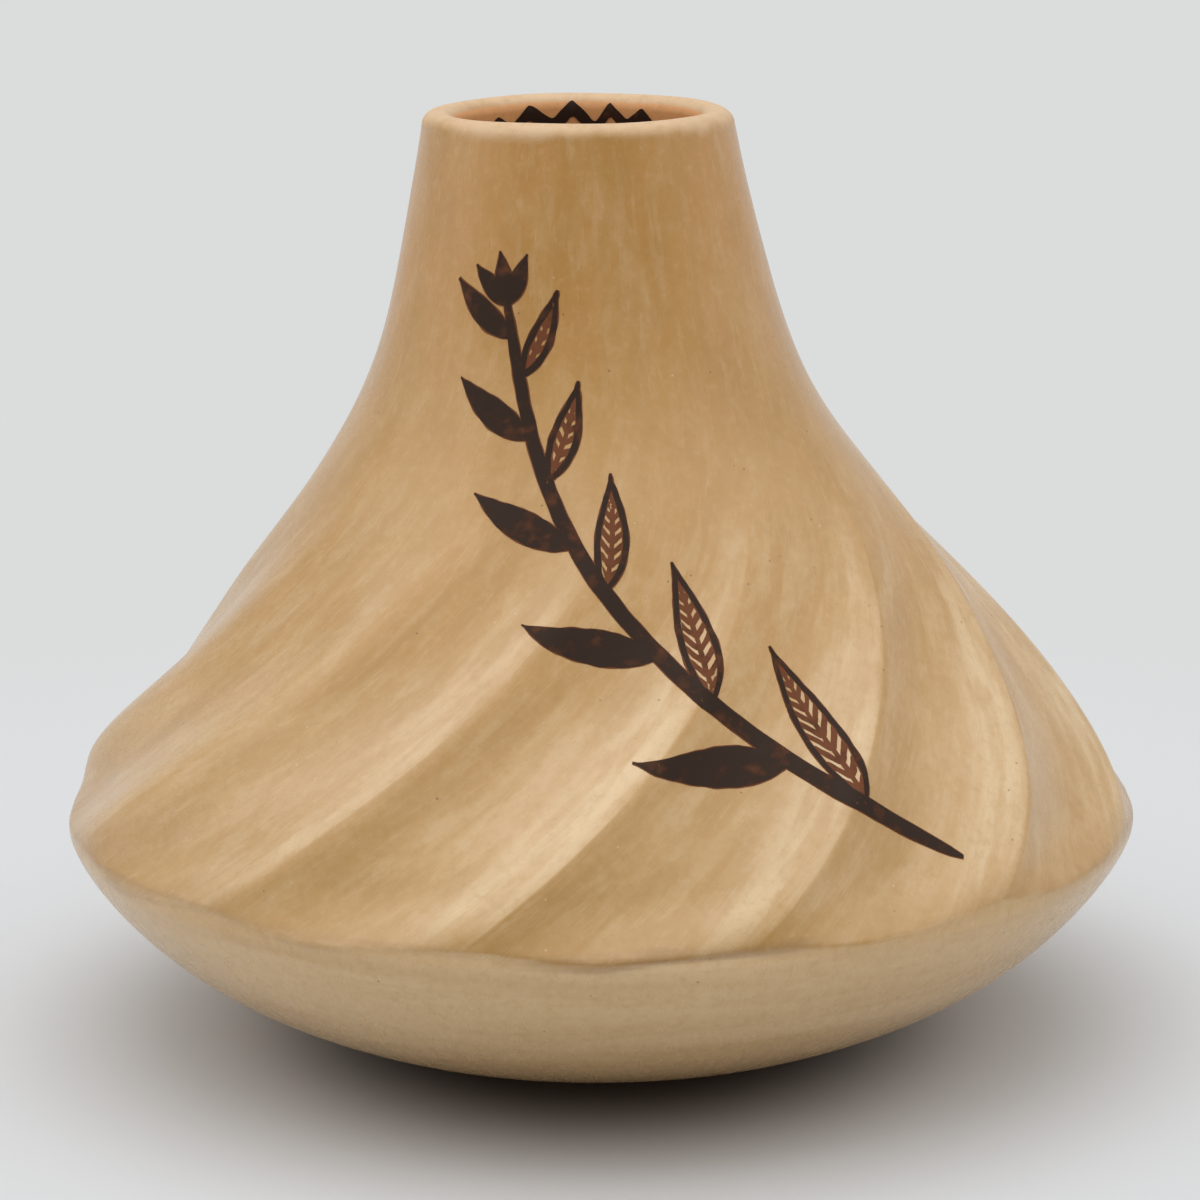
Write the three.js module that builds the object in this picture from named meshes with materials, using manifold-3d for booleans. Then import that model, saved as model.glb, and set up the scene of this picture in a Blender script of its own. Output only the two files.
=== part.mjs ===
// A hand-coiled pottery jar with twelve swirling ribs on its shoulder, in millimetres, +Z up.
// The origin is the centre of the foot, the flat face that the jar rests on.
// The front of the jar looks towards -Y. Azimuths are in degrees from the front, positive towards +X.

import * as THREE from "three";
import * as BufferGeometryUtils from "three/addons/utils/BufferGeometryUtils.js";
import Module from "manifold-3d";

const wasm = await Module();
wasm.setup();

// Driving dimensions of the jar's outside
const jarHeight = 155;
const footDiameter = 50;
const edgeDiameter = 180;
const edgeHeight = 36.5;
const rimDiameter = 51.4;

// Where the shoulder turns from bulging out to curving in, and how steeply it falls there
const shoulderTurnRise = 36;
const shoulderTurnDiameter = 131;
const shoulderFall = 0.86;

// How far each stretch of the outline keeps the direction that it starts or ends with
const footSweep = 46;
const footLift = 0.04;
const edgeSweepDown = 4;
const edgeSweepUp = 9.9;
const shoulderSweep = 14;
const neckBaseSweep = 32;
const rimSweep = 48.2;
const rimTaper = 0.183;

// How far the rim leans off centre towards -X, and the shoulder bulges towards +X
const neckLean = 2.9;
const shoulderBulge = 0.9;
const bulgeHeight = 78;
const bulgeReach = 34;

// Wall
const bodyWall = 6;
const lipWall = 5.4;
const lipRound = 2.5;
const floorThickness = 7;

// Swirling ribs, with a hollow between each two
const ribCount = 12;
const ribDepth = 4.2;
const ribCrestRound = 0.09;
const ribFirstAzimuth = -15.1;
const ribDrift = 3.2;
const ribFadeRise = 27;
const ribTopRise = 64;

// The ribs turn by this angle in all, and start to straighten at the first of two rises above the edge
const ribSwirl = 53.3;
const swirlEaseRise = 50;
const swirlTopRise = 80;

// A hollow starts low above the edge, a crest higher, and each scoops in over a rise
const hollowStartRise = 0.6;
const crestStartRise = 1.9;
const ribScoopRise = 9;

// On the left the crests are rounder, and rubbed down between two rises above the edge
const leftCrestRound = 0.6;
const leftRubbedShare = 0.46;
const rubbedFromRise = 5.3;
const rubbedToRise = 31.5;

// Coils of clay, from the base up
const bowlCourses = 2;
const edgeCourseBelow = 10.5;
const edgeCourseAbove = 7.5;
const shoulderCourses = 5;
const neckCourses = 3;
const rimCourseHeight = 12;

// Painted line inside the neck
const zigzagCount = 20;
const zigzagHeight = 2.4;
const zigzagStroke = 1.7;
const zigzagBelowRim = 3.6;

// Painted branch on the front: its stem, its leaves and the buds at its tip
const stemLowAzimuth = 40;
const stemLowRise = 10.5;
const stemTopAzimuth = -24;
const stemTopRise = 93.5;
const stemBow = 9;
const stemWidthLow = 3.4;
const stemWidthTop = 1.6;
const leafPairs = 5;
const leafLengthLow = 30;
const leafLengthTop = 13;
const leafSlimness = 0.27;
const leafFullness = 0.8;
const leafSpread = 44;
const firstLeaves = 0.75;
const leafStagger = 0.2;
const bareTip = 0.5;
const budLength = 9;
const budWidth = 4.2;
const budSpread = 32;
const budsShare = 0.96;

// Paint lies this far off the clay, measured level, and is this thick
const paintGap = 0.4;
const paintThickness = 0.4;

// Fineness of the faceted surface
const facetsPerRib = 6;
const courseFacetHeight = 5.6;
const baseFacets = 4;
const lipFacets = 3;
const leafFacets = 7;
const stemFacets = 14;

// Steps over which the slope of the outline and the direction of the stem are measured
const slopeReach = 0.5;
const stemReach = 0.02;

const radians = THREE.MathUtils.degToRad;
const smoothstep = (value) => THREE.MathUtils.smoothstep(value, 0, 1);

// Outline of the crests: foot to edge, edge to the turn of the shoulder, and on to the rim.
// In each point x is a radius and y a height.
const footRadius = footDiameter / 2;
const edgeRadius = edgeDiameter / 2;
const rimRadius = rimDiameter / 2;
const turnRadius = shoulderTurnDiameter / 2;
const turnHeight = edgeHeight + shoulderTurnRise;
const shoulderTopHeight = edgeHeight + ribTopRise;
const lipFoot = jarHeight - lipRound;

const bowlCurve = new THREE.CubicBezierCurve(
  new THREE.Vector2(footRadius, 0),
  new THREE.Vector2(footRadius + footSweep, footSweep * footLift),
  new THREE.Vector2(edgeRadius, edgeHeight - edgeSweepDown),
  new THREE.Vector2(edgeRadius, edgeHeight),
);
const shoulderCurve = new THREE.CubicBezierCurve(
  new THREE.Vector2(edgeRadius, edgeHeight),
  new THREE.Vector2(edgeRadius, edgeHeight + edgeSweepUp),
  new THREE.Vector2(turnRadius + shoulderSweep * shoulderFall, turnHeight - shoulderSweep),
  new THREE.Vector2(turnRadius, turnHeight),
);
const neckCurve = new THREE.CubicBezierCurve(
  new THREE.Vector2(turnRadius, turnHeight),
  new THREE.Vector2(turnRadius - neckBaseSweep * shoulderFall, turnHeight + neckBaseSweep),
  new THREE.Vector2(rimRadius + rimSweep * rimTaper, lipFoot - rimSweep),
  new THREE.Vector2(rimRadius, lipFoot),
);

// Radius of the crests at a height, found by halving the curve that spans it
function crestRadiusAt(height) {
  let curve = neckCurve;
  if (height <= turnHeight) curve = shoulderCurve;
  if (height <= edgeHeight) curve = bowlCurve;
  let low = 0;
  let high = 1;
  for (let step = 0; step < 40; step += 1) {
    const middle = (low + high) / 2;
    if (curve.getPoint(middle).y < height) low = middle;
    else high = middle;
  }
  return curve.getPoint((low + high) / 2).x;
}

// Change of the crest radius for each millimetre of height
function outlineSlopeAt(height) {
  const above = Math.min(height + slopeReach, jarHeight);
  const below = Math.max(height - slopeReach, 0);
  return (crestRadiusAt(above) - crestRadiusAt(below)) / (above - below);
}

// Share of their depth that the hollows have at a height, where they start at a rise above the edge.
// They scoop in from there, and fade out below the neck.
function depthShareAt(height, startRise) {
  const rise = height - edgeHeight;
  const scoop = THREE.MathUtils.clamp((rise - startRise) / ribScoopRise, 0, 1);
  const fade = 1 - smoothstep((rise - ribFadeRise) / (ribTopRise - ribFadeRise));
  return scoop * (2 - scoop) * fade;
}

// How much a place counts as left, from 0 to 1. Crests stand at whole numbers of ribs.
function leftShare(ribs) {
  const left = THREE.MathUtils.clamp(-Math.sin((2 * Math.PI * ribs) / ribCount), 0, 1);
  return left * left;
}

// Depth of the hollow at a place between two crests
function hollowAt(ribs, height) {
  const left = leftShare(ribs);
  const swing = Math.sin(Math.PI * ribs);
  const round = ribCrestRound + leftCrestRound * left;
  const shape = (Math.hypot(swing, round) - round) / (Math.hypot(1, round) - round);
  const rise = height - edgeHeight;
  const rubbed = smoothstep((rise - rubbedFromRise) / (rubbedToRise - rubbedFromRise));
  const worn = THREE.MathUtils.lerp(shape, 1, leftRubbedShare * left * rubbed);
  const startRise = THREE.MathUtils.lerp(crestStartRise, hollowStartRise, swing * swing);
  return ribDepth * worn * depthShareAt(height, startRise);
}

// Turn of the ribs between the edge and a height
function swirlAt(height) {
  const easing = swirlTopRise - swirlEaseRise;
  const rise = THREE.MathUtils.clamp(height - edgeHeight, 0, swirlTopRise);
  const eased = Math.max(0, rise - swirlEaseRise);
  return (ribSwirl * (rise - (eased * eased) / (2 * easing))) / (swirlTopRise - easing / 2);
}

// Azimuth of a place counted in ribs. The hand that shaped them set the front ones a little closer.
function ribAzimuth(ribs, height) {
  const even = (360 / ribCount) * ribs;
  return ribFirstAzimuth + even - ribDrift * Math.sin(radians(even)) + swirlAt(height);
}

function outerRadiusAt(ribs, height) {
  return crestRadiusAt(height) - hollowAt(ribs, height);
}

// The wall is measured square to the outline, and thins from the shoulder's top to the lip
function innerRadiusAt(height) {
  const thinning = smoothstep((height - shoulderTopHeight) / (jarHeight - shoulderTopHeight));
  const wall = THREE.MathUtils.lerp(bodyWall, lipWall, thinning);
  const slope = outlineSlopeAt(height);
  const deepest = ribDepth * depthShareAt(height, hollowStartRise);
  return crestRadiusAt(height) - deepest - wall * Math.sqrt(1 + slope * slope);
}

// Where the middle of the wall stands along X
function centreAt(height) {
  const lean = Math.max(0, height - edgeHeight) / (jarHeight - edgeHeight);
  const off = THREE.MathUtils.clamp((height - bulgeHeight) / bulgeReach, -1, 1);
  const bulge = (1 - off * off) * (1 - off * off);
  return shoulderBulge * bulge - neckLean * lean;
}

function pointAt(azimuth, radius, height) {
  const angle = radians(azimuth);
  return [centreAt(height) + radius * Math.sin(angle), -radius * Math.cos(angle), height];
}

function geometryOf(points, faces) {
  const geometry = new THREE.BufferGeometry();
  geometry.setAttribute("position", new THREE.Float32BufferAttribute(points.flat(), 3));
  geometry.setIndex(faces);
  return geometry;
}

// A solid from level rings, each with a height and a radius for every place counted in ribs.
// The rings of a course go round its section. Those of a disc go from its underside to its top.
const facetsRound = ribCount * facetsPerRib;

function solidOfRings(rings, isDisc) {
  const points = [];
  const faces = [];
  for (const ring of rings) {
    for (let facet = 0; facet < facetsRound; facet += 1) {
      const ribs = facet / facetsPerRib;
      points.push(pointAt(ribAzimuth(ribs, ring.height), ring.radius(ribs), ring.height));
    }
  }
  const bands = isDisc ? rings.length - 1 : rings.length;
  for (let band = 0; band < bands; band += 1) {
    const from = band * facetsRound;
    const to = ((band + 1) % rings.length) * facetsRound;
    for (let facet = 0; facet < facetsRound; facet += 1) {
      const next = (facet + 1) % facetsRound;
      faces.push(from + facet, from + next, to + next);
      faces.push(from + facet, to + next, to + facet);
    }
  }
  if (isDisc) {
    const first = 0;
    const last = (rings.length - 1) * facetsRound;
    const under = points.length;
    const over = under + 1;
    points.push([centreAt(rings[0].height), 0, rings[0].height]);
    points.push([centreAt(rings.at(-1).height), 0, rings.at(-1).height]);
    for (let facet = 0; facet < facetsRound; facet += 1) {
      const next = (facet + 1) % facetsRound;
      faces.push(under, first + next, first + facet);
      faces.push(over, last + facet, last + next);
    }
  }
  return geometryOf(points, faces);
}

const outerRing = (height) => ({ height, radius: (ribs) => outerRadiusAt(ribs, height) });
const innerRing = (height) => ({ height, radius: () => innerRadiusAt(height) });
const plainRing = (height, radius) => ({ height, radius: () => radius });

// Heights from one to another, in equal steps of about the height of a facet
function evenLevels(foot, top) {
  const count = Math.max(1, Math.round((top - foot) / courseFacetHeight));
  const levels = [];
  for (let step = 0; step <= count; step += 1) {
    levels.push(THREE.MathUtils.lerp(foot, top, step / count));
  }
  return levels;
}

// Heights of the rings on the outside of a course. The edge course has one on the edge itself.
function levelsOf(course) {
  if (course !== edgeCourse) return evenLevels(course.foot, course.top);
  const above = evenLevels(edgeHeight, course.top).slice(1);
  return [...evenLevels(course.foot, edgeHeight), ...above];
}

// The courses of the wall, each with its name, foot and top
function splitCourses(name, count, foot, top) {
  const courses = [];
  for (let number = 1; number <= count; number += 1) {
    courses.push({
      name: `${name}_course_${number}`,
      foot: THREE.MathUtils.lerp(foot, top, (number - 1) / count),
      top: THREE.MathUtils.lerp(foot, top, number / count),
    });
  }
  return courses;
}

const edgeCourse = {
  name: "edge_course",
  foot: edgeHeight - edgeCourseBelow,
  top: edgeHeight + edgeCourseAbove,
};
const rimCourse = { name: "rim_course", foot: jarHeight - rimCourseHeight, top: jarHeight };
const wallCourses = [
  ...splitCourses("bowl", bowlCourses, floorThickness, edgeCourse.foot),
  edgeCourse,
  ...splitCourses("shoulder", shoulderCourses, edgeCourse.top, shoulderTopHeight),
  ...splitCourses("neck", neckCourses, shoulderTopHeight, rimCourse.foot),
];

// Clay, paint and their colours
const clay = { color: 0xc39f70, roughness: 0.5, metalness: 0 };
const paint = { color: 0x3b2a22, roughness: 0.6, metalness: 0 };

function meshOf(name, geometry, finish) {
  geometry.computeVertexNormals();
  const mesh = new THREE.Mesh(geometry, new THREE.MeshStandardMaterial(finish));
  mesh.name = name;
  return mesh;
}

// Base disc: the foot and the floor in one flat pancake of clay.
// Its rings stand closer together near the foot, where the bowl is flattest.
function baseDisc() {
  const rings = [];
  for (let step = 0; step <= baseFacets; step += 1) {
    const share = step / baseFacets;
    rings.push(outerRing(floorThickness * share * share));
  }
  return solidOfRings(rings, true);
}

// A course of the wall, level at its foot and its top, where its neighbours meet it face to face.
// Above the edge course the inside is straight from the foot of a course to its top.
function wallCourse(course) {
  const levels = levelsOf(course);
  const isStraight = course.foot >= edgeCourse.top;
  const inside = isStraight ? [course.foot, course.top] : levels;
  return solidOfRings([...levels.map(outerRing), ...inside.map(innerRing).reverse()], false);
}

// Rim course: its lip is rounded outside and inside
const lipInside = innerRadiusAt(jarHeight);

function rimRings() {
  const rings = [outerRing(rimCourse.foot), outerRing((rimCourse.foot + lipFoot) / 2)];
  for (let step = 0; step <= lipFacets; step += 1) {
    const angle = (Math.PI / 2) * (step / lipFacets);
    const radius = rimRadius - lipRound + lipRound * Math.cos(angle);
    rings.push(plainRing(lipFoot + lipRound * Math.sin(angle), radius));
  }
  for (let step = lipFacets; step >= 0; step -= 1) {
    const angle = (Math.PI / 2) * (step / lipFacets);
    const radius = lipInside + lipRound - lipRound * Math.cos(angle);
    rings.push(plainRing(lipFoot + lipRound * Math.sin(angle), radius));
  }
  rings.push(innerRing(rimCourse.foot));
  return rings;
}

// Radius of the straight inside of the rim course
function rimInsideAt(height) {
  const share = (height - rimCourse.foot) / (lipFoot - rimCourse.foot);
  return THREE.MathUtils.lerp(innerRadiusAt(rimCourse.foot), lipInside, share);
}

// Zigzag line painted round the inside of the neck
function zigzagBand() {
  const upStroke = (zigzagHeight * zigzagCount) / (Math.PI * lipInside);
  const halfStroke = (zigzagStroke / 2) * Math.sqrt(1 + upStroke * upStroke);
  const turns = zigzagCount * 2;
  const steps = turns * 2;
  const points = [];
  const faces = [];
  const corners = 4;
  for (let step = 0; step < steps; step += 1) {
    const azimuth = (360 / steps) * step;
    const share = step % corners;
    const swing = share === 3 ? 1 : share;
    const middle = jarHeight - zigzagBelowRim + zigzagHeight * (swing / 2 - 0.5);
    for (const [side, depth] of [[-1, 0], [-1, 1], [1, 1], [1, 0]]) {
      const height = middle + side * halfStroke;
      const wall = rimInsideAt(height) * Math.cos(Math.PI / facetsRound);
      const radius = wall - paintGap - paintThickness * depth;
      points.push(pointAt(azimuth, radius, height));
    }
  }
  for (let step = 0; step < steps; step += 1) {
    for (let corner = 0; corner < corners; corner += 1) {
      const here = step * corners + corner;
      const beside = step * corners + ((corner + 1) % corners);
      const next = ((step + 1) % steps) * corners + corner;
      const nextBeside = ((step + 1) % steps) * corners + ((corner + 1) % corners);
      faces.push(here, beside, nextBeside);
      faces.push(here, nextBeside, next);
    }
  }
  return geometryOf(points, faces);
}

// Boolean joins and cuts
function solidOf(geometry) {
  const bare = geometry.clone();
  bare.deleteAttribute("normal");
  bare.deleteAttribute("uv");
  const merged = BufferGeometryUtils.mergeVertices(bare);
  const mesh = new wasm.Mesh({
    numProp: 3,
    vertProperties: merged.attributes.position.array,
    triVerts: new Uint32Array(merged.index.array),
  });
  return new wasm.Manifold(mesh);
}

function geometryOfSolid(solid) {
  const mesh = solid.getMesh();
  const geometry = new THREE.BufferGeometry();
  geometry.setAttribute("position", new THREE.BufferAttribute(mesh.vertProperties, 3));
  geometry.setIndex(new THREE.BufferAttribute(mesh.triVerts, 1));
  return geometry;
}

// The stem leans over the shoulder from its low end to its tip. x is an azimuth and y a height.
function stemPlace(share) {
  const azimuth = THREE.MathUtils.lerp(stemLowAzimuth, stemTopAzimuth, share);
  const height = edgeHeight + THREE.MathUtils.lerp(stemLowRise, stemTopRise, share);
  const bow = stemBow * Math.sin(Math.PI * share);
  return new THREE.Vector2(azimuth - bow, height);
}

// Surface millimetres beside and up the wall at a place, turned into azimuth and height
function placeNear(place, beside, up) {
  const slope = outlineSlopeAt(place.y);
  const height = place.y + up / Math.sqrt(1 + slope * slope);
  const turn = beside / crestRadiusAt(place.y);
  return new THREE.Vector2(place.x + THREE.MathUtils.radToDeg(turn), height);
}

// Direction of the stem on the surface, as an angle from level
function stemDirection(share) {
  const here = stemPlace(share);
  const ahead = stemPlace(share + stemReach);
  const slope = outlineSlopeAt(here.y);
  const beside = radians(ahead.x - here.x) * crestRadiusAt(here.y);
  const up = (ahead.y - here.y) * Math.sqrt(1 + slope * slope);
  return Math.atan2(up, beside);
}

// Outline of the stem, down one side and up the other
function stemOutline() {
  const right = [];
  const left = [];
  for (let step = 0; step <= stemFacets; step += 1) {
    const share = step / stemFacets;
    const half = THREE.MathUtils.lerp(stemWidthLow, stemWidthTop, share) / 2;
    const across = stemDirection(share) - Math.PI / 2;
    const place = stemPlace(share);
    right.push(placeNear(place, half * Math.cos(across), half * Math.sin(across)));
    left.push(placeNear(place, -half * Math.cos(across), -half * Math.sin(across)));
  }
  return [...right, ...left.reverse()];
}

// Outline of a pointed leaf or bud that grows from a place on the stem
function leafOutline(place, direction, length, width) {
  const outline = [];
  for (const side of [-1, 1]) {
    for (let step = 0; step < leafFacets; step += 1) {
      const share = side < 0 ? step / leafFacets : 1 - step / leafFacets;
      const along = length * share;
      const across = side * (width / 2) * Math.sin(Math.PI * share ** leafFullness);
      const beside = along * Math.cos(direction) - across * Math.sin(direction);
      const up = along * Math.sin(direction) + across * Math.cos(direction);
      outline.push(placeNear(place, beside, up));
    }
  }
  return outline;
}

// Stencil of an outline: a block that runs through the paint, square to the jar's axis
function stencil(outline) {
  const reach = 2 * (ribDepth + paintGap + paintThickness);
  const flat = new THREE.ExtrudeGeometry(new THREE.Shape(outline), {
    depth: 1,
    bevelEnabled: false,
    steps: 1,
  });
  const position = flat.attributes.position;
  for (let index = 0; index < position.count; index += 1) {
    const azimuth = position.getX(index);
    const height = position.getY(index);
    const depth = position.getZ(index) * 2 - 1;
    const radius = crestRadiusAt(height) + depth * reach;
    position.setXYZ(index, ...pointAt(azimuth, radius, height));
  }
  return solidOf(flat);
}

// Skin of paint over the wall's own facets, as tall as the wall
function paintSkin() {
  const levels = [];
  for (const course of wallCourses) {
    for (const level of levelsOf(course)) if (level !== levels.at(-1)) levels.push(level);
  }
  const skinRing = (height, lift) => ({
    height,
    radius: (ribs) => outerRadiusAt(ribs, height) + lift,
  });
  const under = levels.map((height) => skinRing(height, paintGap));
  const over = levels.map((height) => skinRing(height, paintGap + paintThickness));
  return solidOf(solidOfRings([...over, ...under.reverse()], false));
}

// The painted branch: stem, leaves on both sides and three buds at its tip
function paintedBranch() {
  let branch = stencil(stemOutline());
  for (let pair = 0; pair < leafPairs; pair += 1) {
    for (const side of [-1, 1]) {
      const share = (pair + firstLeaves + side * leafStagger) / (leafPairs + bareTip);
      const length = THREE.MathUtils.lerp(leafLengthLow, leafLengthTop, share);
      const direction = stemDirection(share) + side * radians(leafSpread);
      const outline = leafOutline(stemPlace(share), direction, length, length * leafSlimness);
      branch = branch.add(stencil(outline));
    }
  }
  for (const turn of [-budSpread, 0, budSpread]) {
    const direction = stemDirection(budsShare) + radians(turn);
    const outline = leafOutline(stemPlace(budsShare), direction, budLength, budWidth);
    branch = branch.add(stencil(outline));
  }
  return geometryOfSolid(branch.intersect(paintSkin()));
}

const jar = new THREE.Group();
jar.name = "pottery_jar";
jar.add(meshOf("base_disc", baseDisc(), clay));
for (const course of wallCourses) {
  jar.add(meshOf(course.name, wallCourse(course), clay));
}
jar.add(meshOf("rim_course", solidOfRings(rimRings(), false), clay));
jar.add(meshOf("neck_zigzag", zigzagBand(), paint));
jar.add(meshOf("painted_branch", paintedBranch(), paint));

export default jar;
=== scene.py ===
"""A hand-coiled pottery jar with swirling ribs, rubbed tan slip and dark brown painting.

The jar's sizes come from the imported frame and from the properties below, in metres.
The front looks towards -Y. Azimuths are in degrees from the front, positive towards +X.
"""

import math

import bpy
import numpy as np
from mathutils import Matrix, Vector, noise


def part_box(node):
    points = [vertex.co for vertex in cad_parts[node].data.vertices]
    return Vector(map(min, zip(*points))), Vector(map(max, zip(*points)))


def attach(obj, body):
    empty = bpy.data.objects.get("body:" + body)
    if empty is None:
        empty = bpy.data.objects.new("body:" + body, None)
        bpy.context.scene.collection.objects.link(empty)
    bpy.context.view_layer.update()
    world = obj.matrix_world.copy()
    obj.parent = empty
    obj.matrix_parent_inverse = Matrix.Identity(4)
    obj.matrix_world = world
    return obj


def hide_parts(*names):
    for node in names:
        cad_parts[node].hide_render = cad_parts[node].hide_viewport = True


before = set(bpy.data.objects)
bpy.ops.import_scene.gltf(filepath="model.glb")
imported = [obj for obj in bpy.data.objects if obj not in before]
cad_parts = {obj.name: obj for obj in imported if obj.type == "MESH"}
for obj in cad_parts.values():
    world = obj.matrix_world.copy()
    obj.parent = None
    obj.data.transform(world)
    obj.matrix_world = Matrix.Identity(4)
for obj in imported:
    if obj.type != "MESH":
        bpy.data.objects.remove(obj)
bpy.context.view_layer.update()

bl_info = {
    "name": "Swirl-ribbed Pottery Jar",
    "version": (1, 0, 0),
    "blender": (4, 5, 0),
    "location": "3D View > Sidebar > Jar",
    "description": "Models a hand-coiled jar, its painting and a plain stage",
    "category": "Add Mesh",
}

MM = 0.001
FULL_TURN = 360.0
SAME_PLACE = 0.01 * MM  # points closer than this are joined
LIP_BLEND = 12 * MM  # this far below the lip the wall's waves end and the lip's dip starts
SMOOTH_UP_TO = 50.0  # degrees between faces that are shaded as one surface

# Sizes that the frame gives
EDGE_LOW, EDGE_HIGH = (Vector(corner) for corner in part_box("edge_course"))
EDGE_RADIUS = (EDGE_HIGH.x - EDGE_LOW.x) / 2
FLOOR_TOP = Vector(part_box("base_disc")[1]).z
RIM_TOP = Vector(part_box("rim_course")[1]).z
WALL_NODES = tuple(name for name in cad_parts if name.endswith("_disc") or "course" in name)


def length(description, default):
    """A size property in metres, given here in millimetres."""
    return bpy.props.FloatProperty(
        description=description, default=default * MM, precision=5, unit="LENGTH"
    )


def number(description, default):
    return bpy.props.FloatProperty(description=description, default=default)


def whole(description, default):
    return bpy.props.IntProperty(description=description, default=default)


def shade(hex_code):
    """Linear red, green, blue and alpha of a colour written as on a paint chart."""
    levels = [int(hex_code[place : place + 2], 16) / 255 for place in (0, 2, 4)]
    linear = [((level + 0.055) / 1.055) ** 2.4 if level > 0.04 else level / 12.92 for level in levels]
    return (*linear, 1.0)


def colour(description, hex_code):
    return bpy.props.FloatVectorProperty(
        description=description, subtype="COLOR", size=4, min=0.0, max=1.0, default=shade(hex_code)
    )


def labelled(group):
    """Labels the properties of a group for the sidebar, after their names here."""
    for name, entry in group.__annotations__.items():
        entry.keywords["name"] = name.replace("_", " ").capitalize()
    return group


@labelled
class JarSizes(bpy.types.PropertyGroup):
    """Outline, wall and ribs of the jar."""

    edge_height: length("Height of the widest edge above the foot", 36.5)
    foot_radius: length("Radius of the flat foot", 25.0)
    foot_sweep: length("How far the bowl keeps the flatness of its foot", 46.0)
    foot_lift: number("Rise of the bowl for each millimetre out from the foot", 0.04)
    edge_sweep_down: length("How far the edge stays upright below", 4.0)
    edge_sweep_up: length("How far the edge stays upright above", 9.9)
    turn_rise: length("Height above the edge where the shoulder turns hollow", 36.0)
    turn_radius: length("Radius where the shoulder turns hollow", 65.5)
    shoulder_fall: number("Narrowing for each millimetre of height there", 0.86)
    shoulder_sweep: length("How far the shoulder keeps that fall below", 14.0)
    neck_sweep: length("How far the shoulder keeps that fall above", 32.0)
    rim_radius: length("Radius at the foot of the lip", 25.7)
    rim_sweep: length("How far the neck keeps its taper below the lip", 48.2)
    rim_taper: number("Narrowing of the neck for each millimetre of height", 0.183)
    lip_wall: length("Thickness of the lip", 5.4)
    lip_round: length("Radius of the lip's edges", 2.5)
    body_wall: length("Thickness of the wall below the neck", 6.0)
    neck_lean: length("How far the rim stands off centre, to the left", 2.9)
    rib_count: whole("Number of ribs", 12)
    rib_depth: length("Depth of the hollows between the ribs", 4.2)
    rib_round: number("Roundness of the crests, 0 for sharp", 0.09)
    rib_worn: number("Further roundness of the crests on the left", 0.6)
    rib_rubbed: number("Share by which the left crests are rubbed down higher up", 0.46)
    rubbed_from: length("Height above the edge where that starts", 5.3)
    rubbed_to: length("Height above the edge where that is complete", 31.5)
    rib_first: number("Azimuth of the first crest at the edge, in degrees", -15.1)
    rib_swirl: number("Turn of the ribs from the edge to the neck, in degrees", 53.3)
    swirl_ease: length("Height above the edge where the ribs start to straighten", 50.0)
    swirl_top: length("Height above the edge where the ribs stand upright", 80.0)
    rib_drift: number("How far the ribs crowd towards the front, in degrees", 3.2)
    rib_top: length("Height above the edge where the ribs have faded out", 64.0)
    rib_fade: length("Height above the edge where the ribs start to fade", 27.0)
    scoop_rise: length("Height over which a hollow reaches its depth", 9.0)
    crease_low: length("Height above the edge where a hollow starts", 0.6)
    crease_high: length("Height above the edge where a crest starts", 1.9)
    bulge: length("How far the shoulder stands off centre, to the right", 0.9)
    bulge_height: length("Height of that bulge", 78.0)
    bulge_reach: length("How far above and below its height the bulge reaches", 34.0)
    unevenness: length("Height of the soft waves that the hand left in the wall", 0.2)
    lip_waver: length("How far the lip dips below its highest point", 0.3)


@labelled
class PaintingSizes(bpy.types.PropertyGroup):
    """Strokes of the painted branch and of the zigzag in the neck."""

    low_azimuth: number("Azimuth of the branch's foot, in degrees", 40.0)
    low_rise: length("Height of the branch's foot above the edge", 10.5)
    top_azimuth: number("Azimuth of the branch's top, in degrees", -24.0)
    top_rise: length("Height of the branch's top above the edge", 93.5)
    bow: number("How far the branch bows to the left, in degrees", 9.0)
    stem_low: length("Width of the stem at its foot", 3.4)
    stem_top: length("Width of the stem at its top", 1.6)
    leaf_pairs: whole("Pairs of leaves", 5)
    leaf_low: length("Length of the lowest leaf", 30.0)
    leaf_top: length("Length of the highest leaf", 13.0)
    leaf_slimness: number("Width of a leaf for each millimetre of length", 0.27)
    leaf_spread: number("Angle of a leaf to the stem, in degrees", 44.0)
    bud_length: length("Length of the buds at the top", 9.0)
    bud_width: length("Width of a bud", 4.2)
    bud_spread: number("Angle between the buds, in degrees", 32.0)
    outline_width: length("Width of the stroke round an outlined leaf", 1.0)
    vein_width: length("Width of a vein in an outlined leaf", 0.55)
    vein_step: length("Distance between veins along the midrib", 2.4)
    vein_slant: number("Angle of a vein to the midrib, in degrees", 42.0)
    film: length("Thickness of the paint above the slip", 0.08)
    zigzag_count: whole("Peaks of the zigzag", 20)
    zigzag_height: length("Height of the zigzag's line from valley to peak", 2.9)
    zigzag_stroke: length("Width of the zigzag's stroke", 1.9)
    zigzag_drop: length("How far the zigzag's line lies below the rim", 4.1)
    zigzag_sag: length("How much lower it runs away from the back", 2.2)


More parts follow.
